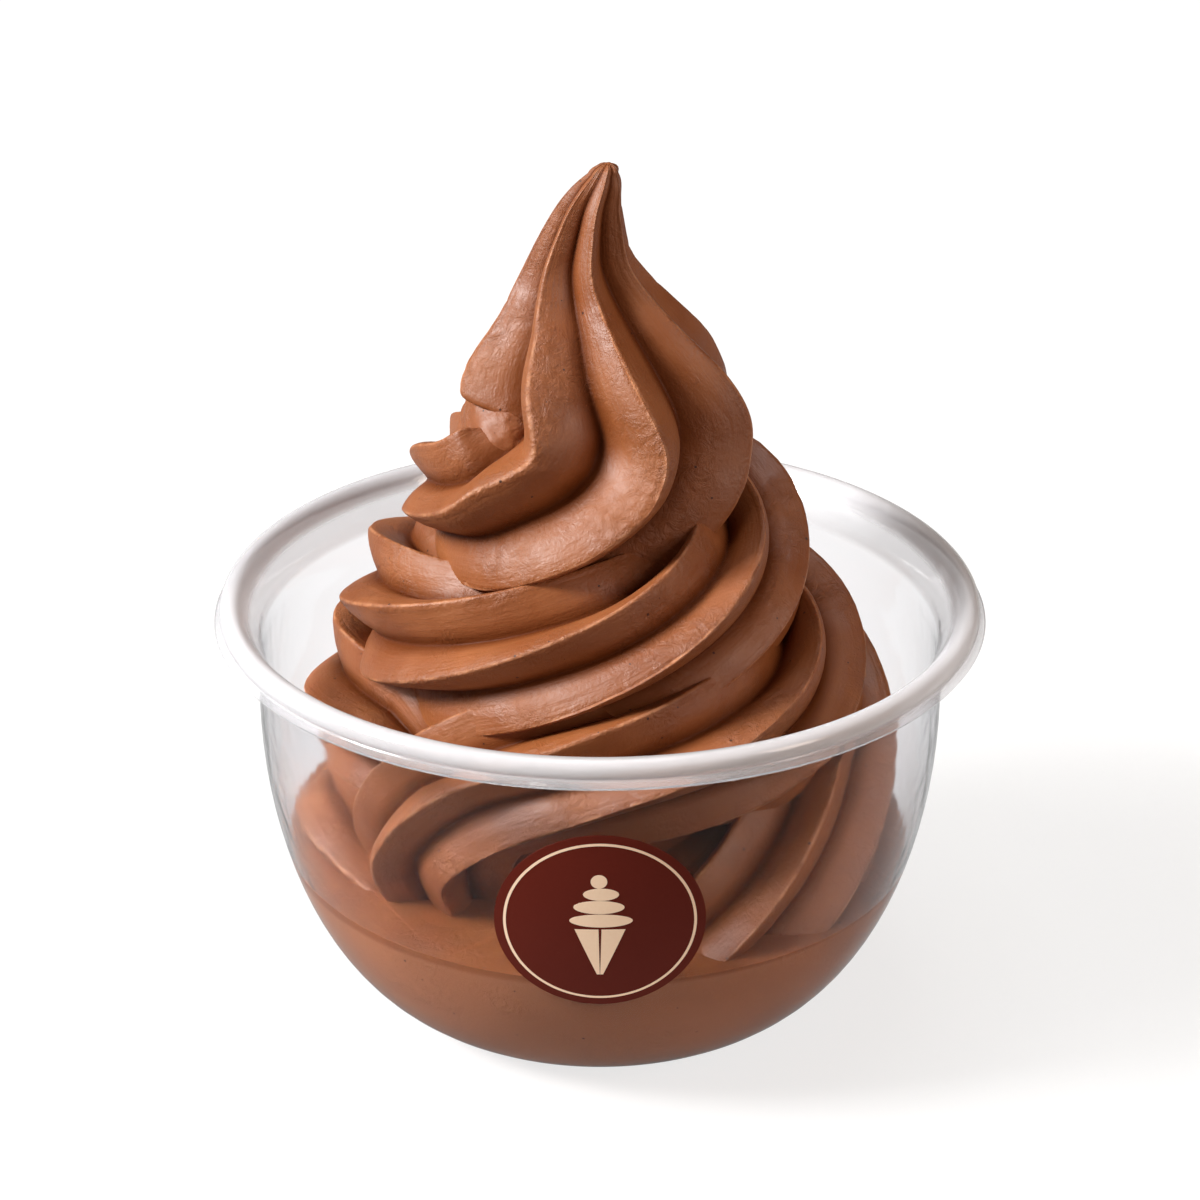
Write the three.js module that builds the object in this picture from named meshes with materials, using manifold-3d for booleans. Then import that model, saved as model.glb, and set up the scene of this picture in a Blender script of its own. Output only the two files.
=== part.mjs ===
// Chocolate soft serve, piped into a clear plastic dessert cup that has a round label on its front.
// Units are millimetres and +Z is up. The origin is the centre of the cup's base, on the surface
// that the cup stands on, and the label faces -Y.

import * as THREE from 'three';
import { mergeVertices } from 'three/addons/utils/BufferGeometryUtils.js';
import { ParametricGeometry } from 'three/addons/geometries/ParametricGeometry.js';
import Module from 'manifold-3d';

const wasm = await Module();
wasm.setup();

// ---------------------------------------------------------------- driving dimensions

// The cup: a squat bowl of thin clear sheet with a rolled lip.
const SHEET = 0.7; // thickness of the wall
const BASE_RADIUS = 25; // flat disc that the cup stands on
const WALL_RADIUS = 52.4; // where the wall stands upright, at mid sheet
const BOWL_HEIGHT = 51; // top of the curve that rises from the base
const CUP_HEIGHT = 68; // crest of the rolled lip
const LIP_RADIUS = 59; // outer edge of the lip
const ROUND = 48; // facets round the cup

// The soft serve: ropes from a star nozzle, with one ridge for each point of the star.
const RIDGES = 7;
const RIDGE_DEPTH = 0.34; // of the rope's radius
const CREST_ROUNDING = 0.12;
const VALLEY_ROUNDING = 0.12;
const NOZZLE_TURN = 279; // direction of the first ridge, in degrees from +X
const POINTS_PER_RIDGE = 4;
const RING_STEP = 1 / 20; // of a turn, between one ring of points and the next
const RINGS_PER_LENGTH = 8; // a rope is built in short lengths, so that none crosses itself
const BEND_ROOM = 0.85; // share of the room on the inner side of a bend that a ring may fill
const CLEARANCE = 0.35; // between the soft serve and the cup
const SLIVER = 0.1; // faces thinner than this are merged into their neighbours

// The filling at the bottom, pressed flat against the bowl.
const FILL_LEVEL = 27;
const FILL_TILT = 1; // degrees, down towards +X

// The label on the wall.
const LABEL_WIDTH = 31;
const LABEL_HEIGHT = 32.6;
const LABEL_CENTRE = 38; // height of its middle
const LABEL_THICKNESS = 0.3;
const LABEL_GAP = 0.3;

// ---------------------------------------------------------------- tables of the piped ropes

// First rope, from inside the filling up to the left. Columns: turn (counterclockwise from above,
// 0 at +X), radius of the coil, height, radius of the rope, angle of its rise, roll of its ridges.
const FIRST_ROPE = [
  [-2.15, 30, 20, 12, 5, 0],
  [-2.0, 32.5, 27, 13.5, 5, 0],
  [-1.75, 33, 28, 13.5, 0, 0],
  [-1.5, 34.5, 30, 14.3, -3, 0],
  [-1.35, 30, 14, 12.5, 0, 0],
  [-1.25, 31, 16, 13, 20, 0],
  [-1.15, 34.5, 27, 13.5, 32, 0],
  [-1.0, 34, 44, 13.5, 22, 0],
  [-0.9, 33, 49, 13.5, 12, 0],
  [-0.75, 33, 51.6, 13.5, 3, 0],
  [-0.5, 33, 50, 13.5, 0, 0],
  [-0.42, 31, 48, 12, 0, 0],
];

// Second rope, in three stretches. It starts upright on the filling and arches to the right.
// Columns: place along the rope, in turns; x, y and height; radius; heading, rise and roll.
const ARCH = [
  [-0.6, -25, -20, 14, 12, -60, 90, -8],
  [-0.52, -25, -20, 26, 14, -60, 90, -8],
  [-0.46, -24.5, -20.5, 36, 14, -55, 80, -6],
  [-0.4, -21, -23.5, 44, 13.8, -42, 58, -2],
  [-0.34, -14, -27.5, 50, 13.5, -27, 34, 0],
  [-0.28, -5, -29.5, 53, 13.5, -12, 14, 0],
];

// Then it lies in coils, with the columns of the first rope.
const COILS = [
  [-0.22, 30, 54, 13.5, 5, 0],
  [-0.1, 30, 54.5, 13.5, 4, 0],
  [0, 29, 56, 13.3, 6, 0],
  [0.25, 28.5, 60, 13.3, 7, 0],
  [0.4, 28, 64, 13.3, 7, 0],
  [0.5, 27, 65.5, 13.3, 8, 0],
  [0.6, 27, 66, 13.3, 8, 0],
  [0.75, 25, 69, 13, 13, 0],
  [0.9, 22, 73.5, 13, 13, 0],
  [1.0, 19.5, 76, 13, 13, 0],
  [1.2, 18, 81, 12.5, 10, 0],
];

// Last it swells into the upright top and is drawn out to the tip, with the columns of the arch.
const TOP = [
  [1.3, -8, 16, 83, 12, 560, 5, 0],
  [1.4, -15.5, 12, 82.5, 11, 605, 2, -12],
  [1.5, -19.5, 0.5, 85.3, 11.6, 650, 3, -15],
  [1.6, -16, -8, 86, 13.3, 665, 14, -16],
  [1.7, -11, -11, 87, 16, 678, 28, -13],
  [1.8, -6, -10, 89, 19, 690, 44, -8],
  [1.9, -1.5, -7, 92, 21.5, 700, 60, 1],
  [2.0, 1, -4, 96, 22.8, 710, 75, 10],
  [2.1, 1, -2.4, 100, 22.6, 710, 85, 14],
  [2.2, -0.3, -1.6, 106.3, 19.9, 710, 90, 11],
  [2.3, -1.2, -1, 112.9, 14.2, 710, 90, 6],
  [2.4, -2.2, 0, 117.5, 10.6, 710, 90, 3],
  [2.5, -2.6, 0, 122, 7.9, 710, 90, 0],
  [2.6, -2, 0, 126.8, 6.1, 710, 90, 0],
  [2.7, -1.2, 0, 130.7, 4.6, 710, 90, 0],
  [2.75, -0.1, 0, 133.2, 3.6, 710, 90, 0],
  [2.8, 0.6, 0, 135, 2.1, 710, 90, 0],
];

// Paste that closes the middle, where no rope shows: radius and height of its outline.
const CORE = [
  [0, 4],
  [25, 6],
  [26.6, 40],
  [22, 56],
  [15, 72],
  [11, 86],
  [0, 94],
];

const CROOK_PLACE = [-14.5, -5.5, 96.5];
const CROOK_SIZE = [6.6, 7.5, 7.5]; // half widths and half height

// ---------------------------------------------------------------- helpers

const degrees = THREE.MathUtils.degToRad;

// Turns a three.js geometry into a solid, with its shared corners merged.
function solid(geometry) {
  const bare = geometry.clone();
  bare.deleteAttribute('normal');
  bare.deleteAttribute('uv');
  const merged = mergeVertices(bare, 1e-4);
  const index = merged.index.array;
  const corners = [];
  for (let i = 0; i < index.length; i += 3) {
    const [a, b, c] = [index[i], index[i + 1], index[i + 2]];
    if (a !== b && b !== c && c !== a) corners.push(a, b, c);
  }
  return new wasm.Manifold(
    new wasm.Mesh({
      numProp: 3,
      vertProperties: new Float32Array(merged.attributes.position.array),
      triVerts: new Uint32Array(corners),
    }),
  );
}

// Turns a solid back into a three.js geometry.
function geometryOf(body) {
  const mesh = body.getMesh();
  const geometry = new THREE.BufferGeometry();
  geometry.setAttribute('position', new THREE.BufferAttribute(mesh.vertProperties, 3));
  geometry.setIndex(new THREE.BufferAttribute(mesh.triVerts, 1));
  geometry.computeVertexNormals();
  return geometry;
}

// The largest piece of a body, without the slivers that joining leaves, with any sealed hollow
// filled and any loose scrap dropped.
function largestPiece(body) {
  const pieces = body.simplify(SLIVER).decompose();
  return pieces.reduce((best, piece) => (piece.volume() > best.volume() ? piece : best));
}

// Revolves an outline of [radius, height] pairs round the Z axis.
function revolve(outline) {
  const points = outline.map(([radius, height]) => new THREE.Vector2(radius, height));
  return new THREE.LatheGeometry(points, ROUND).rotateX(Math.PI / 2);
}

// Reads every column of a table at the place u of its first column, by a monotone cubic.
function readTable(rows, u) {
  const last = rows.length - 1;
  const at = Math.min(Math.max(u, rows[0][0]), rows[last][0]);
  let k = rows.findIndex((row) => row[0] > at) - 1;
  if (k < 0) k = last - 1;
  const span = (i) => rows[i + 1][0] - rows[i][0];
  const s = (at - rows[k][0]) / span(k);
  return rows[0].map((_, column) => {
    const steep = (i) => (rows[i + 1][column] - rows[i][column]) / span(i);
    const slope = (i) => {
      if (i === 0) return steep(0);
      if (i === last) return steep(last - 1);
      const [before, after] = [steep(i - 1), steep(i)];
      if (before * after <= 0) return 0;
      const [w1, w2] = [2 * span(i) + span(i - 1), span(i) + 2 * span(i - 1)];
      return (w1 + w2) / (w1 / before + w2 / after);
    };
    const [p0, p1] = [rows[k][column], rows[k + 1][column]];
    const [m0, m1] = [slope(k) * span(k), slope(k + 1) * span(k)];
    const [s2, s3] = [s * s, s * s * s];
    return (2 * s3 - 3 * s2 + 1) * p0 + (s3 - 2 * s2 + s) * m0 + (3 * s2 - 2 * s3) * p1 + (s3 - s2) * m1;
  });
}

// ---------------------------------------------------------------- cup

// Mid line of the sheet, from the axis out along the base, up the bowl and over the lip.
function cupMidline() {
  const line = new THREE.Path();
  line.moveTo(0, SHEET / 2);
  line.lineTo(BASE_RADIUS, SHEET / 2);
  const rise = BOWL_HEIGHT - SHEET / 2;
  line.absellipse(BASE_RADIUS, BOWL_HEIGHT, WALL_RADIUS - BASE_RADIUS, rise, -Math.PI / 2, 0, false, 0);
  line.lineTo(WALL_RADIUS, CUP_HEIGHT - 7);
  line.lineTo(WALL_RADIUS + 0.3, CUP_HEIGHT - 5.4); // inner corner, where a lid would stop
  line.lineTo(WALL_RADIUS + 2.2, CUP_HEIGHT - 2.4); // sloping step
  line.lineTo(WALL_RADIUS + 2.9, CUP_HEIGHT - 1.1);
  line.lineTo(WALL_RADIUS + 4.1, CUP_HEIGHT - SHEET / 2); // crest of the roll
  line.lineTo(WALL_RADIUS + 5.4, CUP_HEIGHT - 1.0);
  line.lineTo(WALL_RADIUS + 5.7, CUP_HEIGHT - 2.2);
  line.lineTo(WALL_RADIUS + 5.3, CUP_HEIGHT - 3.0); // groove under the roll
  line.lineTo(LIP_RADIUS, CUP_HEIGHT - 3.9); // thin edge that stands out below it
  return line.getPoints(4);
}

// The midline moved sideways by a distance, to the right of its direction.
function offsetLine(points, distance) {
  return points.map((point, i) => {
    const before = points[Math.max(i - 1, 0)];
    const after = points[Math.min(i + 1, points.length - 1)];
    const along = after.clone().sub(before).normalize();
    const radius = i === 0 ? 0 : point.x + along.y * distance;
    return [radius, point.y - along.x * distance];
  });
}

const midline = cupMidline();
const innerFace = offsetLine(midline, -SHEET / 2);

function cupGeometry() {
  const outerFace = offsetLine(midline, SHEET / 2);
  return revolve([...outerFace, ...innerFace.slice().reverse()]);
}

// Room that the soft serve may fill: the bowl less a clearance, open upwards.
function roomGeometry() {
  const wall = offsetLine(midline, -SHEET / 2 - CLEARANCE);
  const upright = wall.filter(([, height]) => height < CUP_HEIGHT - 6);
  const top = 2 * CUP_HEIGHT + 20;
  return revolve([...upright, [upright.at(-1)[0], top], [0, top]]);
}

// ---------------------------------------------------------------- soft serve

// How far the rope's surface lies from its middle, as a share of its radius, at a given angle.
function ridgeProfile(angle) {
  const phase = (((angle * RIDGES) / (2 * Math.PI)) % 1 + 1) % 1;
  const fromCrest = 1 - Math.abs(2 * phase - 1);
  const rounded = (value, rounding) =>
    (Math.hypot(value, rounding) - rounding) / (Math.hypot(1, rounding) - rounding);
  const fall = 1 - rounded(1 - rounded(fromCrest, CREST_ROUNDING), VALLEY_ROUNDING);
  return 1 - RIDGE_DEPTH * fall;
}

// The rows of a coil, every 1/24 turn, as places in space with a heading.
function coilRows(coil) {
  const step = 1 / 24;
  const count = Math.round((coil.at(-1)[0] - coil[0][0]) / step);
  return Array.from({ length: count + 1 }, (_, i) => {
    const [turn, coilRadius, height, radius, rise, roll] = readTable(coil, coil[0][0] + i * step);
    const angle = 2 * Math.PI * turn;
    const [x, y] = [coilRadius * Math.cos(angle), coilRadius * Math.sin(angle)];
    return [turn, x, y, height, radius, 360 * turn + 90, rise, roll];
  });
}

// One ring of the rope. Its plane follows the heading and the rise, and its ridges keep the
// direction of the nozzle, which never turns.
function ring(rows, u) {
  const weights = [1, 4, 6, 4, 1];
  const spread = 0.02;
  const mean = rows[0].map(() => 0);
  weights.forEach((weight, i) => {
    readTable(rows, u + (i - 2) * spread).forEach((value, column) => {
      mean[column] += (weight / 16) * value;
    });
  });
  const [, x, y, height, radius, heading, rise, roll] = mean;
  const [level, steep] = [Math.cos(degrees(rise)), Math.sin(degrees(rise))];
  const [east, north] = [Math.cos(degrees(heading)), Math.sin(degrees(heading))];
  const along = new THREE.Vector3(level * east, level * north, steep);
  const turn = new THREE.Quaternion().setFromUnitVectors(new THREE.Vector3(0, 0, 1), along);
  return { centre: new THREE.Vector3(x, y, height), radius, roll: degrees(roll), along, turn };
}

// The rings of a whole rope. Each one knows how far its neighbours lean towards each other, so
// that on the inner side of a bend it can stop short of them.
function ringsOf(rows) {
  const [start, end] = [rows[0][0], rows.at(-1)[0]];
  const count = Math.round((end - start) / RING_STEP);
  const rings = Array.from({ length: count + 1 }, (_, i) => ring(rows, start + (i / count) * (end - start)));
  return rings.map((own, i) => {
    const [before, after] = [rings[Math.max(i - 1, 0)], rings[Math.min(i + 1, count)]];
    const travel = after.centre.clone().sub(before.centre).dot(own.along);
    return { ...own, lean: after.along.clone().sub(before.along).divideScalar(travel) };
  });
}

// A point of a ring at an angle round the rope, or its centre when the share is 0.
function ringPoint({ centre, radius, roll, lean, turn }, angle, share, target) {
  const direction = angle + roll + degrees(NOZZLE_TURN);
  target.set(Math.cos(direction), Math.sin(direction), 0).applyQuaternion(turn);
  const full = radius * ridgeProfile(angle);
  const crowding = (full * Math.max(target.dot(lean), 0)) / BEND_ROOM;
  const reach = (share * full) / (1 + crowding ** 4) ** 0.25;
  target.multiplyScalar(reach).add(centre);
}

// A closed length of rope over some rings.
function lengthOfRope(rings) {
  const capped = [rings[0], ...rings, rings.at(-1)];
  const stacks = capped.length - 1;
  const slices = RIDGES * POINTS_PER_RIDGE;
  return new ParametricGeometry(
    (around, along, target) => {
      const i = Math.round(along * stacks);
      const angle = (2 * Math.PI * (Math.round(around * slices) % slices)) / slices;
      ringPoint(capped[i], angle, i === 0 || i === stacks ? 0 : 1, target);
    },
    slices,
    stacks,
  );
}

// A whole rope, as a list of lengths. Each starts on the very ring that the one before ends on.
function rope(rows) {
  const rings = ringsOf(rows);
  const lengths = [];
  for (let i = 0; i < rings.length - 1; i += RINGS_PER_LENGTH) {
    lengths.push(lengthOfRope(rings.slice(i, i + RINGS_PER_LENGTH + 1)));
  }
  return lengths;
}

// The filling: a slab with a tilted top, which the room then cuts to the shape of the bowl.
function fillGeometry() {
  const size = 3 * LIP_RADIUS;
  const slab = new THREE.BoxGeometry(size, size, size);
  slab.translate(0, 0, -size / 2);
  slab.rotateY(degrees(FILL_TILT));
  return slab.translate(0, 0, FILL_LEVEL);
}

// Paste pushed together in the crook where the rope turns upright.
function crookGeometry() {
  const lump = new THREE.SphereGeometry(1, 14, 10);
  lump.rotateX(Math.PI / 2);
  lump.scale(...CROOK_SIZE);
  return lump.translate(...CROOK_PLACE);
}

function softServeGeometry() {
  const second = [...ARCH, ...coilRows(COILS), ...TOP];
  const parts = [...rope(coilRows(FIRST_ROPE)), ...rope(second), fillGeometry(), revolve(CORE), crookGeometry()];
  const joined = parts.map(solid).reduce((whole, part) => whole.add(part));
  return geometryOf(largestPiece(joined.intersect(solid(roomGeometry()))));
}

// ---------------------------------------------------------------- label

// Radius of the wall's outer face at a height on the bowl, and the lean of the wall there.
function wallAt(height) {
  const angle = Math.acos((BOWL_HEIGHT - height) / BOWL_HEIGHT);
  const reach = WALL_RADIUS - BASE_RADIUS;
  const lean = Math.atan2(reach * Math.cos(angle), BOWL_HEIGHT * Math.sin(angle));
  return { radius: BASE_RADIUS + reach * Math.sin(angle) + SHEET / 2, lean };
}

// A round sheet that follows the wall, with a back and a front face.
function labelGeometry() {
  const slices = 28;
  const layers = [
    [0, LABEL_GAP],
    [0.5, LABEL_GAP],
    [1, LABEL_GAP],
    [1, LABEL_GAP + LABEL_THICKNESS],
    [0.5, LABEL_GAP + LABEL_THICKNESS],
    [0, LABEL_GAP + LABEL_THICKNESS],
  ];
  const stacks = layers.length - 1;
  return new ParametricGeometry(
    (around, through, target) => {
      const [share, offset] = layers[Math.round(through * stacks)];
      const angle = 2 * Math.PI * (Math.round(around * slices) % slices) / slices;
      const across = share * (LABEL_WIDTH / 2) * Math.cos(angle);
      const up = share * (LABEL_HEIGHT / 2) * Math.sin(angle);
      const height = LABEL_CENTRE + up * Math.cos(wallAt(LABEL_CENTRE).lean);
      const { radius, lean } = wallAt(Math.min(height, BOWL_HEIGHT));
      const reach = radius + offset * Math.cos(lean);
      const turn = across / radius - Math.PI / 2;
      target.set(reach * Math.cos(turn), reach * Math.sin(turn), height - offset * Math.sin(lean));
    },
    slices,
    stacks,
  );
}

// ---------------------------------------------------------------- the scene graph

function piece(name, geometry, material) {
  const mesh = new THREE.Mesh(geometry, material);
  mesh.name = name;
  return mesh;
}

const clearPlastic = new THREE.MeshStandardMaterial({
  color: 0xeef2f4,
  roughness: 0.08,
  metalness: 0,
  transparent: true,
  opacity: 0.3,
});
const chocolate = new THREE.MeshStandardMaterial({ color: 0x8f5a3c, roughness: 0.45, metalness: 0 });
const labelPaper = new THREE.MeshStandardMaterial({ color: 0x5a1a10, roughness: 0.5, metalness: 0 });

const cup = piece('cup', geometryOf(solid(cupGeometry())), clearPlastic);
const softServe = piece('soft_serve', softServeGeometry(), chocolate);
const label = piece('label', geometryOf(solid(labelGeometry())), labelPaper);

const softServeCup = new THREE.Group();
softServeCup.add(cup, softServe, label);

export default softServeCup;
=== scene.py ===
"""Chocolate soft serve, piped into a clear plastic dessert cup with a round label.

Sizes are in millimetres where a name or a table says so, and in metres on every object.
The cup stands on z = 0 with its axis on Z, and the label faces -Y.
"""

import math

import bpy
import numpy as np
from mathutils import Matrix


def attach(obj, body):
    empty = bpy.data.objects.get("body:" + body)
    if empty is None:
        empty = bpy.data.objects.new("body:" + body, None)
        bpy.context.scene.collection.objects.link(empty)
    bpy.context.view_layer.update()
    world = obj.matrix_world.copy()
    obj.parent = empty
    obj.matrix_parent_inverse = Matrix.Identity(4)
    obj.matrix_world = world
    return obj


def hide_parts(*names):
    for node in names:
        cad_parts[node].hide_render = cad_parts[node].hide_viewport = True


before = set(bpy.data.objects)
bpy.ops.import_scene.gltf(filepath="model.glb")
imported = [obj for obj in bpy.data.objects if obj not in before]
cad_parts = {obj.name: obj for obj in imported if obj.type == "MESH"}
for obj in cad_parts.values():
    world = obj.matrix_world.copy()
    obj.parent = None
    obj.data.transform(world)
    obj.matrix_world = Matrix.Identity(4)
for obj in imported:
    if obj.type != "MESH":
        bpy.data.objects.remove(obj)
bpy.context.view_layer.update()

MM = 0.001

# ---------------------------------------------------------------- driving dimensions, mm

SHEET = 0.7  # thickness of the cup's wall
BASE_RADIUS = 25.0  # flat disc that the cup stands on
WALL_RADIUS = 52.4  # where the wall stands upright, at mid sheet
BOWL_HEIGHT = 51.0  # top of the curve that rises from the base
CUP_HEIGHT = 68.0  # crest of the rolled lip
LIP_RADIUS = 59.0  # outer edge of the lip
LIP_START = 61.0  # where the upright wall goes over into the lip
CUP_SEGMENTS = 240
BOWL_POINTS = 25

RIDGES = 7
RIDGE_DEPTH = 0.37  # of the rope's radius
CREST_ROUNDING = 0.10
VALLEY_ROUNDING = 0.12
NOZZLE_TURN = 279.0  # direction of the first ridge, degrees from +X
BEND_ROOM = 0.85  # share of the room on the inner side of a bend that a ring may fill
POINTS_PER_RIDGE = 24
CLOSENESS = 0.055  # how far the points are drawn to crests and valleys, in ridges
RINGS_PER_TURN = 88
RINGS_PER_LENGTH = 30
CAP_LENGTH = 0.75  # of a rope's rounded end, as a share of its radius
CAP_STEP = 0.3  # along the rope between the cap's rings, in mm of the UV map
NO_RIDGE = 0.25  # UV of a plain face, as far from a crest as from a valley
INTO_WALL = 0.12  # how far the soft serve reaches into the sheet where they touch
ROOM_HEIGHT = 156.0  # a height above the tip
ROWS_PER_TURN = 24

FILL_LEVEL = 27.0
FILL_TILT = 1.0  # degrees, down towards +X

LABEL_RADIUS = 15.4
LABEL_CENTRE = 38.0
LABEL_FRONT = -64.0  # y of its flat pieces, before they are pressed on
LABEL_THICKNESS = 0.12
LABEL_GAP = 0.03  # of glue
INK_THICKNESS = 0.03
INK_GAP = 0.01
RING_RADIUS = 14.1
RING_WIDTH = 0.4
CONE_TOP = -0.65  # heights from the label's middle
CONE_FOOT = -9.2
CONE_TOP_WIDTH = 7.4
CONE_FOOT_WIDTH = 0.9
CONE_SLIT = 0.06  # share of the cone's width left open on each side of its middle
BAND_SHIFT = 0.15  # sideways, to the right and the left in turn

# Bands of the printed swirl, from the lowest up: half width, half height and height.
SWIRL_BANDS = [[4.6, 1.15, 0.9], [3.7, 1.15, 3.3], [2.6, 1.05, 5.55], [1.2, 1.15, 7.75]]

CAMERA_TILT = 25.3  # degrees downwards
CAMERA_DISTANCE = 600.0
CAMERA_AIM = 65.7  # height of the point on the axis that the camera looks at
SENSOR_WIDTH = 36.0
LENS = 116.9
PANEL_AIM = 70.0  # height of the point that the lamps are turned to

# ---------------------------------------------------------------- tables of the piped ropes

# First rope, from inside the filling up to the left. Columns: turn (counterclockwise from
# above, 0 at +X), radius of the coil, height, radius of the rope, rise and roll in degrees.
FIRST_ROPE = [
    [-2.15, 30, 20, 12, 5, 0],
    [-2.0, 32.5, 27, 13.5, 5, 0],
    [-1.75, 33, 28, 13.5, 0, 0],
    [-1.5, 34.5, 30, 14.3, -3, 0],
    [-1.35, 30, 14, 12.5, 0, 0],
    [-1.25, 31, 16, 13, 20, 0],
    [-1.15, 34.5, 27, 13.5, 32, 0],
    [-1.0, 34, 44, 13.5, 22, 0],
    [-0.9, 33, 49, 13.5, 12, 0],
    [-0.75, 33, 51.6, 13.5, 3, 0],
    [-0.5, 33, 50, 13.5, 0, 0],
    [-0.42, 31, 48, 12, 0, 0],
]

# Second rope, in three stretches. It starts upright on the filling and arches to the right.
# Columns: place along the rope, in turns; x, y and height; radius; heading, rise and roll.
ARCH = [
    [-0.6, -18, -14, 14, 9, -60, 90, -8],
    [-0.52, -22.2, -17.8, 26, 12, -60, 90, -8],
    [-0.46, -24.5, -20.5, 36, 14, -55, 80, -6],
    [-0.4, -21, -23.5, 44, 13.8, -42, 58, -2],
    [-0.34, -14, -27.5, 50, 13.5, -27, 34, 0],
    [-0.28, -5, -29.5, 53, 13.5, -12, 14, 0],
]

# Then it lies in coils, with the columns of the first rope.
COILS = [
    [-0.22, 30, 54, 13.5, 5, 0],
    [-0.1, 30, 54.5, 13.5, 4, 0],
    [0, 29, 56, 13.3, 6, 0],
    [0.25, 28.5, 60, 13.3, 7, 0],
    [0.4, 28, 64, 13.3, 7, 0],
    [0.5, 27, 65.5, 13.3, 8, 0],
    [0.6, 27, 66, 13.3, 8, 0],
    [0.75, 25, 69, 13, 13, 0],
    [0.9, 22, 73.5, 13, 13, 0],
    [1.0, 19.5, 76, 13, 13, 0],
    [1.2, 18, 81, 12.5, 10, 0],
]

# Last it swells into the upright top and is drawn out to the tip, with the arch's columns.
TOP = [
    [1.3, -8, 16, 83, 12, 560, 5, 0],
    [1.4, -15.5, 12, 82.5, 11, 605, 2, -12],
    [1.5, -19.5, 0.5, 85.3, 11.6, 650, 3, -15],
    [1.6, -16, -8, 86, 13.3, 665, 14, -16],
    [1.7, -11, -11, 87, 16, 678, 28, -13],
    [1.8, -6, -10, 89, 19, 690, 44, -8],
    [1.9, -1.5, -7, 92, 21.5, 700, 60, 1],
    [2.0, 1, -4, 96, 22.8, 710, 75, 10],
    [2.1, 1, -2.4, 100, 22.6, 710, 85, 14],
    [2.2, -0.3, -1.6, 106.3, 19.9, 710, 90, 11],
    [2.3, -1.2, -1, 112.9, 14.2, 710, 90, 6],
    [2.4, -2.2, 0, 117.5, 10.6, 710, 90, 3],
    [2.5, -2.6, 0, 122, 7.9, 710, 90, 0],
    [2.6, -2, 0, 126.8, 6.1, 710, 90, 0],
    [2.7, -1.2, 0, 130.7, 4.6, 710, 90, 0],
    [2.75, -0.1, 0, 133.2, 3.6, 710, 90, 0],
    [2.8, 0.6, 0, 135, 2.1, 710, 90, 0],
]

# Paste that closes the middle, where no rope shows: radius and height of its outline.
CORE = [[25, 6], [26.6, 40], [22, 56], [15, 72], [11, 86]]

# Paste pushed together in the crook where the rope turns upright: its place and half widths.
CROOK_PLACE = (-14.0, -0.5, 96.3)
CROOK_SIZE = (6.8, 12.5, 7.4)
LUMP_WIDTH, LUMP_HEIGHT = 2.6, 0.55
CRUMB_WIDTH, CRUMB_HEIGHT = 0.9, 0.12

# ---------------------------------------------------------------- small helpers


def linear(code):
    """A colour given as sRGB hex, in the linear values that shaders take."""
    channels = [int(code[i : i + 2], 16) / 255 for i in (1, 3, 5)]
    return [c / 12.92 if c <= 0.04045 else ((c + 0.055) / 1.055) ** 2.4 for c in channels] + [1.0]


def add_node(tree, kind, inputs=(), **settings):
    """Adds a shader node with its settings. Each input is given a value or another's output."""
    node = tree.nodes.new("ShaderNode" + kind)
    for name, value in settings.items():
        setattr(node, name, value)
    for name, value in dict(inputs).items():
        if isinstance(value, bpy.types.NodeSocket):
            tree.links.new(value, node.inputs[name])
        else:
            node.inputs[name].default_value = value
    return node


def new_material(name):
    """An empty node material, and its tree and output node."""
    material = bpy.data.materials.new(name)
    material.use_nodes = True
    tree = material.node_tree
    tree.nodes.clear()
    return material, tree, tree.nodes.new("ShaderNodeOutputMaterial")


def select_only(obj):
    """Leaves one object selected and active, in object mode."""
    if bpy.context.object and bpy.context.object.mode != "OBJECT":
        bpy.ops.object.mode_set(mode="OBJECT")
    bpy.ops.object.select_all(action="DESELECT")
    obj.select_set(True)
    bpy.context.view_layer.objects.active = obj


def apply_modifiers(obj):
    """Applies all of an object's modifiers, in their order."""
    select_only(obj)
    for modifier in list(obj.modifiers):
        bpy.ops.object.modifier_apply(modifier=modifier.name)


def set_place(obj):
    """Puts an object's place, turn and scale into its mesh."""
    select_only(obj)
    bpy.ops.object.transform_apply(location=True, rotation=True, scale=True)


def mesh_piece(name, points, faces):
    """A new object from points in mm and faces."""
    mesh = bpy.data.meshes.new(name)
    mesh.from_pydata((np.asarray(points, float) * MM).tolist(), [], faces)
    obj = bpy.data.objects.new(name, mesh)
    bpy.context.scene.collection.objects.link(obj)
    return obj


def smooth_noise(x, y, seed):
    """Soft random values from -1 to 1 that change over a distance of about 1 in x and y."""
    size = 64
    lattice = np.random.default_rng(seed).uniform(-1, 1, (size, size))
    x, y = np.broadcast_arrays(np.asarray(x, float), np.asarray(y, float))
    i, j = np.floor(x).astype(int), np.floor(y).astype(int)
    s, t = x - i, y - j
    s, t = s * s * (3 - 2 * s), t * t * (3 - 2 * t)

    def corner(a, b):
        return lattice[(i + a) % size, (j + b) % size]

    low = corner(0, 0) * (1 - s) + corner(1, 0) * s
    high = corner(0, 1) * (1 - s) + corner(1, 1) * s
    return low * (1 - t) + high * t


def smooth_step(low, high, value):
    """0 at low, 1 at high and a smooth change between."""
    t = np.clip((value - low) / (high - low), 0, 1)
    return t * t * (3 - 2 * t)


# ---------------------------------------------------------------- the cup


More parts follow.
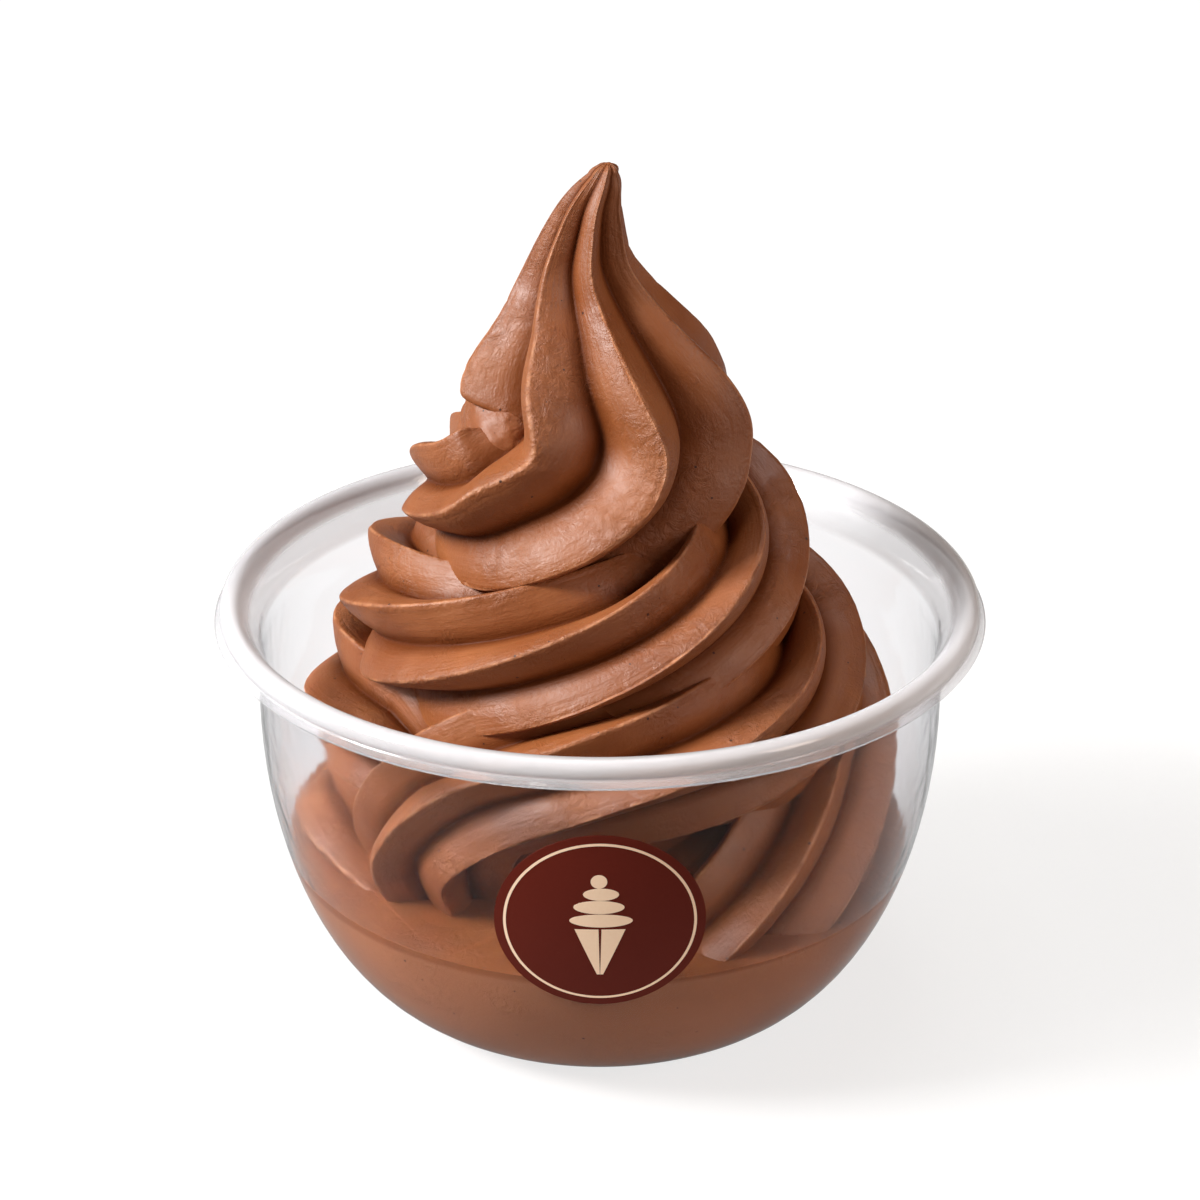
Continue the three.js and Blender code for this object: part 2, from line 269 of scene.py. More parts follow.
def lip_profile():
    """The rolled lip at mid sheet, from the top of the wall outwards: radius and height."""
    wall, top = WALL_RADIUS, CUP_HEIGHT
    return [
        [wall, LIP_START],
        [wall + 0.3, top - 5.4],  # inner corner, where a lid would stop
        [wall + 2.2, top - 2.4],  # sloping step
        [wall + 2.9, top - 1.1],
        [wall + 4.1, top - SHEET / 2],  # crest of the roll
        [wall + 5.4, top - 1.0],
        [wall + 5.7, top - 2.2],
        [wall + 5.3, top - 3.0],  # groove under the roll
        [LIP_RADIUS, top - 3.9],  # thin edge that stands out below it
    ]


def cup_midline():
    """Mid line of the sheet, from the base out, up the bowl and over the lip."""
    reach, rise = WALL_RADIUS - BASE_RADIUS, BOWL_HEIGHT - SHEET / 2
    bowl = [
        [BASE_RADIUS + reach * math.sin(a), BOWL_HEIGHT - rise * math.cos(a)]
        for a in np.linspace(0, math.pi / 2, BOWL_POINTS)
    ]
    wall = [[WALL_RADIUS, z] for z in (BOWL_HEIGHT + 3.0, LIP_START - 3.5)]
    knots = np.array(lip_profile(), float)
    # The lip is rounded by cutting its corners twice.
    for _ in range(2):
        quarter = 0.75 * knots[:-1] + 0.25 * knots[1:]
        three = 0.25 * knots[:-1] + 0.75 * knots[1:]
        cut = np.stack([quarter, three], 1).reshape(-1, 2)
        knots = np.vstack([knots[:1], cut, knots[-1:]])
    return np.vstack([bowl, wall, knots])


def offset_line(points, distance):
    """A line moved sideways, to the right of its direction."""
    along = np.gradient(points, axis=0)
    along /= np.linalg.norm(along, axis=1)[:, None]
    return points + distance * np.stack([along[:, 1], -along[:, 0]], 1)


def turn_profile(name, profile):
    """A closed shell: a circle at the base, extruded ring by ring along a profile of
    [radius, height] in mm, with both ends filled."""
    bpy.ops.object.select_all(action="DESELECT")
    radius, height = profile[0]
    bpy.ops.mesh.primitive_circle_add(
        vertices=CUP_SEGMENTS, radius=radius * MM, fill_type="NGON", location=(0, 0, height * MM)
    )
    obj = bpy.context.object
    obj.name = name
    bpy.ops.object.mode_set(mode="EDIT")
    bpy.ops.mesh.select_mode(type="EDGE")
    bpy.ops.mesh.select_all(action="SELECT")
    bpy.ops.mesh.region_to_loop()
    for (r0, z0), (r1, z1) in zip(profile[:-1], profile[1:]):
        bpy.ops.mesh.extrude_edges_move(TRANSFORM_OT_translate={"value": (0, 0, (z1 - z0) * MM)})
        bpy.ops.transform.resize(value=(r1 / r0, r1 / r0, 1), center_override=(0, 0, z1 * MM))
    bpy.ops.mesh.edge_face_add()
    bpy.ops.mesh.select_all(action="SELECT")
    bpy.ops.mesh.normals_make_consistent(inside=False)
    bpy.ops.object.mode_set(mode="OBJECT")
    set_place(obj)
    return obj


midline = cup_midline()
outer_face = offset_line(midline, SHEET / 2)
inner_face = offset_line(midline, -SHEET / 2)
inner_face[0, 0] = outer_face[0, 0] = BASE_RADIUS


def make_cup():
    """The clear cup, as one sheet from the base to the edge of the lip and back."""
    obj = turn_profile("clear_cup", np.vstack([outer_face, inner_face[::-1]]))
    bpy.ops.object.shade_smooth_by_angle(angle=math.radians(50))
    return obj


# ---------------------------------------------------------------- the soft serve


def read_table(rows, u):
    """Every column of a table at the places u of its first column, by a monotone cubic."""
    rows = np.asarray(rows, float)
    x, y = rows[:, 0], rows[:, 1:]
    span = np.diff(x)[:, None]
    steep = np.diff(y, axis=0) / span
    slope = np.zeros_like(y)
    slope[0], slope[-1] = steep[0], steep[-1]
    w1, w2 = 2 * span[1:] + span[:-1], span[1:] + 2 * span[:-1]
    same = steep[:-1] * steep[1:] > 0
    with np.errstate(divide="ignore", invalid="ignore"):
        slope[1:-1] = np.where(same, (w1 + w2) / (w1 / steep[:-1] + w2 / steep[1:]), 0)
    u = np.clip(u, x[0], x[-1])
    k = np.clip(np.searchsorted(x, u, side="right") - 1, 0, len(x) - 2)
    s = ((u - x[k]) / span[k, 0])[:, None]
    h = span[k]
    return (
        (2 * s**3 - 3 * s**2 + 1) * y[k]
        + (s**3 - 2 * s**2 + s) * slope[k] * h
        + (3 * s**2 - 2 * s**3) * y[k + 1]
        + (s**3 - s**2) * slope[k + 1] * h
    )


def coil_rows(coil):
    """The rows of a coil, spread evenly along it, as places in space with a heading."""
    start, end = coil[0][0], coil[-1][0]
    turns = np.linspace(start, end, round((end - start) * ROWS_PER_TURN) + 1)
    coil_radius, height, radius, rise, roll = read_table(coil, turns).T
    angle = 2 * math.pi * turns
    columns = [
        turns,
        coil_radius * np.cos(angle),
        coil_radius * np.sin(angle),
        height,
        radius,
        360 * turns + 90,
        rise,
        roll,
    ]
    return np.stack(columns, 1)


def unit_turns(axis_to):
    """For each direction, the smallest turn that brings +Z to it, as images of X and Y."""
    k = np.cross([0, 0, 1], axis_to)
    c = axis_to[:, 2:3]

    def turned(v):
        v = np.asarray(v, float)
        return v * c + np.cross(k, v) + k * ((k @ v)[:, None] / (1 + c))

    return turned([1, 0, 0]), turned([0, 1, 0])


def ring_stations(rows):
    """The rings of a rope: where they are, how thick, how they are turned and how much their
    neighbours lean towards each other."""
    start, end = rows[0][0], rows[-1][0]
    u = np.linspace(start, end, round((end - start) * RINGS_PER_TURN) + 1)
    # Each row is a weighted mean of its surroundings, so that no change along it is sudden.
    weights, spread = {-2: 1, -1: 4, 0: 6, 1: 4, 2: 1}, 0.02
    mean = sum(w / 16 * read_table(rows, u + i * spread) for i, w in weights.items())
    heading, rise, roll = np.radians(mean[:, 4:7]).T
    level = np.cos(rise)
    along = np.stack([level * np.cos(heading), level * np.sin(heading), np.sin(rise)], 1)
    across, up = unit_turns(along)
    centre = mean[:, :3]
    travel = (np.gradient(centre, axis=0) * along).sum(1)
    lean = np.gradient(along, axis=0) / travel[:, None]
    return {
        "u": u,
        "centre": centre,
        "radius": mean[:, 3],
        "roll": roll,
        "across": across,
        "up": up,
        "lean": lean,
    }


def ring_places():
    """Places round a ring, counted in ridges, closer together at the crests and valleys."""
    t = np.arange(RIDGES * POINTS_PER_RIDGE) / POINTS_PER_RIDGE
    return t - CLOSENESS * np.sin(4 * math.pi * t)


def ridge_profile(place, depth):
    """Distance of the rope's surface from its middle, as a share of its radius."""
    from_crest = 1 - np.abs(2 * (place % 1) - 1)

    def rounded(value, rounding):
        return (np.hypot(value, rounding) - rounding) / (math.hypot(1, rounding) - rounding)

    fall = 1 - rounded(1 - rounded(from_crest, CREST_ROUNDING), VALLEY_ROUNDING)
    return 1 - depth * fall


def rope_relief(place, along, seed):
    """What the nozzle and the handling leave on the surface, in mm: an uneven flow, fine lines
    along it and ragged crests."""
    uneven = 0.28 * smooth_noise(1.4 * place, along / 13, seed)
    coarse_lines = 0.16 * smooth_noise(3.1 * place, along / 30, seed + 1)
    fine_lines = 0.07 * smooth_noise(8.0 * place, along / 18, seed + 2)
    worn = smooth_step(-0.1, 0.7, smooth_noise(0.9 * place, along / 9, seed + 3))
    nicks = np.maximum(smooth_noise(place, along / 1.1, seed + 4), 0) ** 2
    from_crest = np.abs((place + 0.5) % 1 - 0.5)
    at_crest = np.exp(-((from_crest / 0.05) ** 2))
    return uneven + coarse_lines + fine_lines - 0.55 * at_crest * worn * nicks


def rope_surface(rings, seed):
    """Points of a rope's surface, ring by ring, in mm, and their places round and along it."""
    place = ring_places()
    steps = np.linalg.norm(np.diff(rings["centre"], axis=0), axis=1)
    along = np.concatenate([[0], np.cumsum(steps)])
    angle = 2 * math.pi / RIDGES * place
    direction = angle[None] + rings["roll"][:, None] + math.radians(NOZZLE_TURN)
    out = np.cos(direction)[..., None] * rings["across"][:, None]
    out = out + np.sin(direction)[..., None] * rings["up"][:, None]
    # The ridges run together where the rope is drawn out to the tip.
    depth = RIDGE_DEPTH * (1 - 0.55 * smooth_step(6.5, 1.5, rings["radius"]))[:, None]
    radius = rings["radius"][:, None]
    relief = rope_relief(place[None], along[:, None], seed) * smooth_step(2, 12, radius)
    full = radius * ridge_profile(place[None], depth) + relief
    crowding = full * np.maximum((out * rings["lean"][:, None]).sum(2), 0) / BEND_ROOM
    reach = full / (1 + crowding**4) ** 0.25
    points = rings["centre"][:, None] + reach[..., None] * out
    return points, place, along


def closed_length(name, points, centres, place, along):
    """One closed length of rope, with a fan of faces at each end. Its UV map counts the ridges
    round the rope and the centimetres along it."""
    rings, slices = points.shape[:2]
    corners = np.arange(rings * slices).reshape(rings, slices)
    following = np.roll(corners, -1, axis=1)
    quads = np.stack([corners[:-1], following[:-1], following[1:], corners[1:]], -1)
    faces = quads.reshape(-1, 4).tolist()
    first, last = rings * slices, rings * slices + 1
    faces += [[first, b, a] for a, b in zip(corners[0], following[0])]
    faces += [[last, a, b] for a, b in zip(corners[-1], following[-1])]
    everything = np.vstack([points.reshape(-1, 3), centres[:1], centres[-1:]])
    obj = mesh_piece(name, everything, faces)
    begin, end = place, np.append(place[1:], RIDGES)
    u = np.stack([begin, end, end, begin], -1)[None].repeat(rings - 1, 0)
    near, far = along[:-1, None].repeat(slices, 1), along[1:, None].repeat(slices, 1)
    quad_map = np.stack([u, np.stack([near, near, far, far], -1) / 10], -1).reshape(-1, 2)
    cap_map = np.full((6 * slices, 2), NO_RIDGE)
    flow = obj.data.uv_layers.new(name="flow")
    flow.data.foreach_set("uv", np.vstack([quad_map, cap_map]).ravel())
    return obj


def mark_plain(obj):
    """Gives a piece the ropes' UV map, with the value that stands for no ridge."""
    while obj.data.uv_layers:
        obj.data.uv_layers.remove(obj.data.uv_layers[0])
    flow = obj.data.uv_layers.new(name="flow")
    flow.data.foreach_set("uv", np.full(2 * len(flow.data), NO_RIDGE))


def round_end(rings, points):
    """Closes the end of a rope with rings that shrink over a rounded cap."""
    centre, last = rings["centre"][-1], points[-1]
    onward = centre - rings["centre"][-2]
    onward *= CAP_LENGTH * rings["radius"][-1] / np.linalg.norm(onward)
    caps, middles = [], []
    for share in (0.3, 0.55, 0.76, 0.9, 0.975):
        middle = centre + share * onward
        caps.append(middle + (last - centre) * math.sqrt(1 - share**2))
        middles.append(middle)
    middles[-1] = centre + onward
    return np.vstack([points, caps]), np.vstack([rings["centre"], middles])


def rope_lengths(name, rows, seed):
    """A rope with a rounded upper end, in short lengths that each start on the ring that the
    one before ends on."""
    rings = ring_stations(rows)
    points, place, along = rope_surface(rings, seed)
    points, centres = round_end(rings, points)
    extra = np.arange(1, len(points) - len(along) + 1)
    along = np.append(along, along[-1] + extra * CAP_STEP)
    lengths = []
    for i in range(0, len(points) - 1, RINGS_PER_LENGTH):
        span = slice(i, i + RINGS_PER_LENGTH + 1)
        length = closed_length(f"{name}_{i}", points[span], centres[span], place, along[span])
        lengths.append(length)
    return lengths


def make_room():
    """The space that the soft serve may fill: the bowl, a hair into its wall, open upwards."""
    wall = offset_line(midline, -SHEET / 2 + INTO_WALL)
    wall[0, 0] = BASE_RADIUS
    upright = [p for p in wall.tolist() if p[1] < LIP_START + 0.5]
    upright.append([upright[-1][0], ROOM_HEIGHT])
    return turn_profile("room", np.array(upright))


def make_filling():
    """The filling at the bottom: a slab with a tilted top."""
    bpy.ops.object.select_all(action="DESELECT")
    size = 3 * LIP_RADIUS * MM
    bpy.ops.mesh.primitive_cube_add(size=size, location=(0, 0, FILL_LEVEL * MM - size / 2))
    obj = bpy.context.object
    obj.name = "chocolate_soft_serve"
    bpy.ops.object.mode_set(mode="EDIT")
    bpy.ops.mesh.select_all(action="SELECT")
    bpy.ops.transform.rotate(
        value=-math.radians(FILL_TILT), orient_axis="Y", center_override=(0, 0, FILL_LEVEL * MM)
    )
    bpy.ops.object.mode_set(mode="OBJECT")
    set_place(obj)
    return obj


def make_crook():
    """A rough lump of paste, with lumps and finer crumbs pushed out of an ellipsoid."""
    bpy.ops.object.select_all(action="DESELECT")
    bpy.ops.mesh.primitive_ico_sphere_add(subdivisions=5, radius=MM)
    obj = bpy.context.object
    obj.name = "crook"
    bpy.ops.object.mode_set(mode="EDIT")
    bpy.ops.transform.resize(value=CROOK_SIZE)
    bpy.ops.transform.translate(value=[c * MM for c in CROOK_PLACE])
    bpy.ops.object.mode_set(mode="OBJECT")
    mark_plain(obj)
    for vertex in obj.data.vertices:
        x, y, z = (c / MM for c in vertex.co)
        lump = float(smooth_noise((x + z) / LUMP_WIDTH, (y - z) / LUMP_WIDTH, seed=41))
        crumb = float(smooth_noise((x - z) / CRUMB_WIDTH, (y + z) / CRUMB_WIDTH, seed=42))
        vertex.co += vertex.normal * (LUMP_HEIGHT * lump + CRUMB_HEIGHT * crumb) * MM
    return obj


def boolean(obj, operation, operand):
    """Joins or cuts an object with another one or with a collection of them."""
    modifier = obj.modifiers.new(operation.lower(), "BOOLEAN")
    modifier.operation = operation
    modifier.solver = "MANIFOLD"
    if isinstance(operand, bpy.types.Collection):
        modifier.operand_type = "COLLECTION"
        modifier.collection = operand
    else:
        modifier.object = operand
    apply_modifiers(obj)


def make_soft_serve():
    """The ropes, the lump, the core and the filling, joined and cut to the room in the cup."""
    second = np.vstack([ARCH, coil_rows(COILS), TOP])
    parts = rope_lengths("first_rope", coil_rows(FIRST_ROPE), seed=11)
    parts += rope_lengths("second_rope", second, seed=23)
    core = turn_profile("core", np.array(CORE, float))
    mark_plain(core)
    parts += [core, make_crook()]
    group = bpy.data.collections.new("ropes")
    bpy.context.scene.collection.children.link(group)
    for part in parts:
        for owner in part.users_collection:
            owner.objects.unlink(part)
        group.objects.link(part)
    obj = make_filling()
    mark_plain(obj)
    boolean(obj, "UNION", group)
    room = make_room()
    mark_plain(room)
    boolean(obj, "INTERSECT", room)
    for part in parts + [room]:
        bpy.data.objects.remove(part, do_unlink=True)
    bpy.data.collections.remove(group)
    select_only(obj)
    bpy.ops.object.shade_smooth_by_angle(angle=math.radians(40))
    return obj


# ---------------------------------------------------------------- the label


def flat_disc(name, centre, radius, rings, vertices, width=1.0):
    """A disc of concentric rings, upright in front of the cup and facing -Y. centre is its place
    across and up, in mm, and width stretches it sideways."""
    bpy.ops.object.select_all(action="DESELECT")
    place = (centre[0] * MM, LABEL_FRONT * MM, centre[1] * MM)
    bpy.ops.mesh.primitive_circle_add(
        vertices=vertices,
        radius=radius * MM,
        fill_type="NGON",
        location=place,
        rotation=(math.pi / 2, 0, 0),
    )
    obj = bpy.context.object
    obj.name = name
    bpy.ops.object.mode_set(mode="EDIT")
    bpy.ops.mesh.select_mode(type="FACE")
    bpy.ops.mesh.select_all(action="SELECT")
    for _ in range(rings - 1):
        bpy.ops.mesh.inset(thickness=radius * MM / rings)
    bpy.ops.mesh.select_all(action="SELECT")
    bpy.ops.transform.resize(value=(width, 1, 1), center_override=place)
    bpy.ops.object.mode_set(mode="OBJECT")
    set_place(obj)
    return obj


def cut_out(name, outline):
    """A flat shape from its outline, in mm across and up from the label's middle."""
    points = [(x, LABEL_FRONT, LABEL_CENTRE + z) for x, z in outline]
    obj = mesh_piece(name, points, [list(range(len(points)))])
    select_only(obj)
    bpy.ops.object.mode_set(mode="EDIT")
    bpy.ops.mesh.select_all(action="SELECT")
    bpy.ops.mesh.quads_convert_to_tris()
    bpy.ops.mesh.subdivide(number_cuts=3)
    bpy.ops.object.mode_set(mode="OBJECT")
    return obj


def press_on(obj, cup, gap, thickness):
    """Moves a flat piece along +Y on to the cup's wall and gives it its thickness."""
    wrap = obj.modifiers.new("press", "SHRINKWRAP")
    wrap.wrap_method = "PROJECT"
    wrap.use_project_y = True
    wrap.use_positive_direction = True
    wrap.use_negative_direction = False
    wrap.target = cup
    wrap.offset = gap * MM
    sheet = obj.modifiers.new("sheet", "SOLIDIFY")
    sheet.thickness = thickness * MM
    sheet.offset = 1
    apply_modifiers(obj)
    bpy.ops.object.shade_smooth_by_angle(angle=math.radians(40))


def make_label(cup, paper_finish, ink_finish):
    """The round paper label and its cream print: a thin ring, and a plain cone with a swirl."""
    paper = flat_disc("round_label", (0, LABEL_CENTRE), LABEL_RADIUS, 16, 128)
    paper.data.materials.append(paper_finish)
    press_on(paper, cup, LABEL_GAP, LABEL_THICKNESS)

    ring = flat_disc("ring", (0, LABEL_CENTRE), RING_RADIUS, 1, 128)
    select_only(ring)
    bpy.ops.object.mode_set(mode="EDIT")
    bpy.ops.mesh.select_all(action="SELECT")
    bpy.ops.mesh.inset(thickness=RING_WIDTH * MM)
    bpy.ops.mesh.delete(type="FACE")
    bpy.ops.object.mode_set(mode="OBJECT")
    prints = [ring]
    for i, (half_width, half_height, height) in enumerate(SWIRL_BANDS):
        centre = (BAND_SHIFT * (-1) ** i, LABEL_CENTRE + height)
        band = flat_disc(f"band_{i}", centre, half_height, 4, 64, half_width / half_height)
        prints.append(band)
    top, foot = CONE_TOP_WIDTH / 2, CONE_FOOT_WIDTH / 2
    for name, left, right in (("cone_left", -1, -CONE_SLIT), ("cone_right", CONE_SLIT, 1)):
        outline = [
            (left * top, CONE_TOP),
            (left * foot, CONE_FOOT),
            (right * foot, CONE_FOOT),
            (right * top, CONE_TOP),
        ]
        prints.append(cut_out(name, outline))
    for piece in prints:
        piece.data.materials.append(ink_finish)
        press_on(piece, cup, LABEL_GAP + LABEL_THICKNESS + INK_GAP, INK_THICKNESS)
    bpy.ops.object.select_all(action="DESELECT")
    for piece in [paper] + prints:
        piece.select_set(True)
    bpy.context.view_layer.objects.active = paper
    bpy.ops.object.join()
    return paper


# ---------------------------------------------------------------- materials


def ray_kinds(tree):
    """1 for the rays that look at the studio directly or through the clear cup, and 1 for those
    that see it mirrored. Both are 0 for the rays that gather light."""
    path = add_node(tree, "LightPath").outputs
    camera, through = path["Is Camera Ray"], path["Is Transmission Ray"]
    scatters, reflections = path["Diffuse Depth"], path["Glossy Depth"]
    straight = add_node(tree, "Math", {0: camera, 1: through}, operation="MAXIMUM").outputs[0]
    bounces = add_node(tree, "Math", {0: scatters, 1: reflections}, operation="ADD").outputs[0]
    direct = add_node(tree, "Math", {0: bounces, 1: 0.5}, operation="LESS_THAN").outputs[0]
    seen = add_node(tree, "Math", {0: straight, 1: direct}, operation="MULTIPLY").outputs[0]
    clean = add_node(tree, "Math", {0: scatters, 1: 0.5}, operation="LESS_THAN").outputs[0]
    glossy = add_node(tree, "Math", {0: reflections, 1: 0.5}, operation="GREATER_THAN").outputs[0]
    mirrored = add_node(tree, "Math", {0: clean, 1: glossy}, operation="MULTIPLY").outputs[0]
    return seen, mirrored


def clear_plastic():
    """PET sheet, vacuum formed: water clear with a high gloss and faint ripples. Where it is
    rolled up at the lip it is thick and strained; the milky white there is painted, and stands in
    for the reflections in the rolled lip."""
    material, tree, out = new_material("clear_pet_sheet")
    place = add_node(tree, "TexCoord").outputs["Object"]
    height = add_node(tree, "SeparateXYZ", {"Vector": place}).outputs["Z"]
    # The heights between which the sheet turns a painted milky white, which stands in for the
    # reflections in the rolled lip, and how clear it is below and above them.
    steps = []
    for start, end, below, above in ((60.3, 61.3, 0.99, 0.84), (64.6, 65.8, 1.0, 0.52)):
        inputs = {
            "Value": height,
            "From Min": start * MM,
            "From Max": end * MM,
            "To Min": below,
            "To Max": above,
        }
        steps.append(add_node(tree, "MapRange", inputs).outputs["Result"])
    clearness = add_node(tree, "Math", dict(enumerate(steps)), operation="MULTIPLY").outputs[0]
    # painted reflection: the milky white of the lip
    painted_lip_reflection = add_node(
        tree,
        "Mix",
        {0: clearness, 6: linear("#D9D8DB"), 7: linear("#F7F7F9")},
        data_type="RGBA",
    )
    ripple_width, ripple_depth = 5 * MM, 0.06 * MM
    ripples = add_node(
        tree,
        "TexNoise",
        {"Vector": place, "Scale": 1 / ripple_width, "Detail": 1, "Roughness": 0.4},
    )
    bump = add_node(
        tree,
        "Bump",
        {"Height": ripples.outputs["Fac"], "Strength": 1.0, "Distance": ripple_depth},
    )
    shader = add_node(
        tree,
        "BsdfPrincipled",
        {
            "Base Color": painted_lip_reflection.outputs[2],
            "Transmission Weight": clearness,
            "Roughness": 0.06,
            "IOR": 1.38,
            "Normal": bump.outputs[0],
        },
    )
    # Lamps shine straight through the thin sheet.
    lamp_ray = add_node(tree, "LightPath").outputs["Is Shadow Ray"]
    open_sheet = add_node(tree, "BsdfTransparent", {"Color": linear("#CCCCCC")})
    mix = add_node(
        tree, "MixShader", {"Fac": lamp_ray, 1: shader.outputs[0], 2: open_sheet.outputs[0]}
    )
    tree.links.new(mix.outputs[0], out.inputs["Surface"])
    return material


def chocolate_soft_serve():
    """Chocolate soft serve: whipped and half frozen, so it is satin with moist glints. It has
    burst air bubbles, fine lines along the flow, and crests that let some light through. Light
    and
    shade are painted into its colour too: paler crests, darker valleys and pits, and a paler
    filling."""
    material, tree, out = new_material("chocolate_soft_serve")
    coordinates = add_node(tree, "TexCoord").outputs
    solid, flow = coordinates["Object"], coordinates["UV"]

    # Random patterns: width of the largest forms in mm, layers of finer ones, how strong those
    # are, and how much the pattern is twisted. The grain is drawn coarser than the real ice
    # crystals, so that it shows.
    pattern = {}
    for name, width, detail, rough, twist in (
        ("blotches", 14, 3, 0.55, 0),
        ("broken", 3, 4, 0.6, 0),
        ("wrinkles", 2.2, 6, 0.66, 1.2),
        ("calm", 12, 1, 0.5, 0),
        ("torn", 0.9, 4, 0.6, 0),
        ("grain", 0.5, 2, 0.5, 0),
        ("moist", 7, 4, 0.6, 0),
    ):
        inputs = {
            "Vector": solid,
            "Scale": 1 / (width * MM),
            "Detail": detail,
            "Roughness": rough,
            "Distortion": twist,
        }
        pattern[name] = add_node(tree, "TexNoise", inputs).outputs["Fac"]
    # Lines along the flow: six across a ridge, and one in 14 mm along it.
    stretched = add_node(tree, "Mapping", {"Vector": flow, "Scale": (6, 0.7, 1)}).outputs[0]
    inputs = {"Vector": stretched, "Scale": 1, "Detail": 4, "Roughness": 0.65}
    pattern["lines"] = add_node(tree, "TexNoise", inputs).outputs["Fac"]
    bubble_spacing = 2.4 * MM
    inputs = {"Vector": solid, "Scale": 1 / bubble_spacing, "Randomness": 1.0}
    bubbles = add_node(tree, "TexVoronoi", inputs).outputs
    chance = add_node(tree, "SeparateXYZ", {"Vector": bubbles["Color"]}).outputs["X"]

    # The place across a ridge is 0 on its crest and 0.5 in the valley beside it.
    ridge = add_node(tree, "SeparateXYZ", {"Vector": flow}).outputs["X"]
    across = add_node(tree, "Math", {0: ridge, 1: 0.5}, operation="PINGPONG").outputs[0]
    height = add_node(tree, "SeparateXYZ", {"Vector": solid}).outputs["Z"]

    # What these give: the two values between which an amount changes, and the amount at each.
    amount = {}
    for name, source, low, high, at_low, at_high in (
        ("blotches", pattern["blotches"], 0.35, 0.65, 0, 1),
        ("crest", across, 0.008, 0.03, 1, 0),
        ("broken", pattern["broken"], 0.4, 0.62, 0, 1),
        # painted shade: how far the colour darkens towards the bottom of each valley
        ("painted valley shade", across, 0.29, 0.49, 0, 0.9),
        ("bubble radius", chance, 0.35, 1.0, 0, 0.1),
        # painted light: the filling, below its level, is made paler
        ("pressed", height, (FILL_LEVEL - 0.6) * MM, (FILL_LEVEL - 1.4) * MM, 0, 1),
        ("calm", pattern["calm"], 0.42, 0.6, 0, 1),
        ("near crest", across, 0.02, 0.09, 1, 0),
        ("roughness", pattern["moist"], 0.3, 0.7, 0.42, 0.6),
        ("shine", across, 0.27, 0.45, 0.85, 0.15),
    ):
        inputs = {
            "Value": source,
            "From Min": low,
            "From Max": high,
            "To Min": at_low,
            "To Max": at_high,
        }
        amount[name] = add_node(tree, "MapRange", inputs).outputs["Result"]
    for name, first, second in (
        # painted light: a ragged paler line along the crests, for light shining through them
        ("painted crest light", amount["crest"], amount["broken"]),
        ("wrinkles", pattern["wrinkles"], amount["calm"]),
        ("torn crest", pattern["torn"], amount["near crest"]),
    ):
        inputs = {0: first, 1: second}
        amount[name] = add_node(tree, "Math", inputs, operation="MULTIPLY").outputs[0]
    inputs = {0: amount["bubble radius"], 1: bubbles["Distance"]}
    pit = add_node(tree, "Math", inputs, operation="GREATER_THAN").outputs[0]

    # Colour: faint blotches, then painted light and shade: darker valleys and pits for the shade
    # in them, a paler filling as painted light on it, and paler crests for light shining through.
    inputs = {0: amount["blotches"], 6: linear("#8B4B21"), 7: linear("#9B592B")}
    brown = add_node(tree, "Mix", inputs, data_type="RGBA").outputs[2]
    for colour, share in (
        # painted shade in the valleys
        ("#57270F", amount["painted valley shade"]),
        # painted light on the filling
        ("#A86A44", amount["pressed"]),
        # painted light through the crests
        ("#BC7C52", amount["painted crest light"]),
        # painted shade in the pits, which the relief below also sinks
        ("#4A2413", pit),
    ):
        inputs = {0: share, 6: brown, 7: linear(colour)}
        brown = add_node(tree, "Mix", inputs, data_type="RGBA").outputs[2]

    # Relief and its depth in mm, from the coarsest to the finest, and then the sunken pits.
    relief = {}
    for source, depth, sunken in (
        (pattern["lines"], 0.25, False),
        (amount["wrinkles"], 0.45, False),
        (amount["torn crest"], 0.3, False),
        (pattern["grain"], 0.05, False),
        (pit, 0.2, True),
    ):
        inputs = {"Height": source, "Strength": 1.0, "Distance": depth * MM, **relief}
        relief = {"Normal": add_node(tree, "Bump", inputs, invert=sunken).outputs[0]}

    shader = add_node(
        tree,
        "BsdfPrincipled",
        {
            "Base Color": brown,
            "Roughness": amount["roughness"],
            "Specular IOR Level": amount["shine"],
            "IOR": 1.45,
            "Subsurface Weight": 0.06,
            "Subsurface Radius": (1.0, 0.4, 0.2),
            "Subsurface Scale": 1.2 * MM,
            **relief,
        },
    )
    tree.links.new(shader.outputs[0], out.inputs["Surface"])
    return material


def printed_paper(name, dark, light, shine):
    """Coated label paper, printed all over and varnished: half matte, with the faint mottling
    of ink on paper fibres."""
    material, tree, out = new_material(name)
    place = add_node(tree, "TexCoord").outputs["Object"]
    fibre_width, fibre_depth = 0.5 * MM, 0.012 * MM  # real ones are finer and would not show
    inputs = {"Vector": place, "Scale": 1 / fibre_width, "Detail": 3, "Roughness": 0.6}
    fibres = add_node(tree, "TexNoise", inputs).outputs["Fac"]
    inputs = {0: fibres, 6: linear(dark), 7: linear(light)}
    colour = add_node(tree, "Mix", inputs, data_type="RGBA").outputs[2]
    inputs = {"Height": fibres, "Strength": 1.0, "Distance": fibre_depth}
    bump = add_node(tree, "Bump", inputs).outputs[0]
    shader = add_node(
        tree,
        "BsdfPrincipled",
        {"Base Color": colour, "Roughness": 0.6, "Specular IOR Level": shine, "Normal": bump},
    )
    tree.links.new(shader.outputs[0], out.inputs["Surface"])
    return material


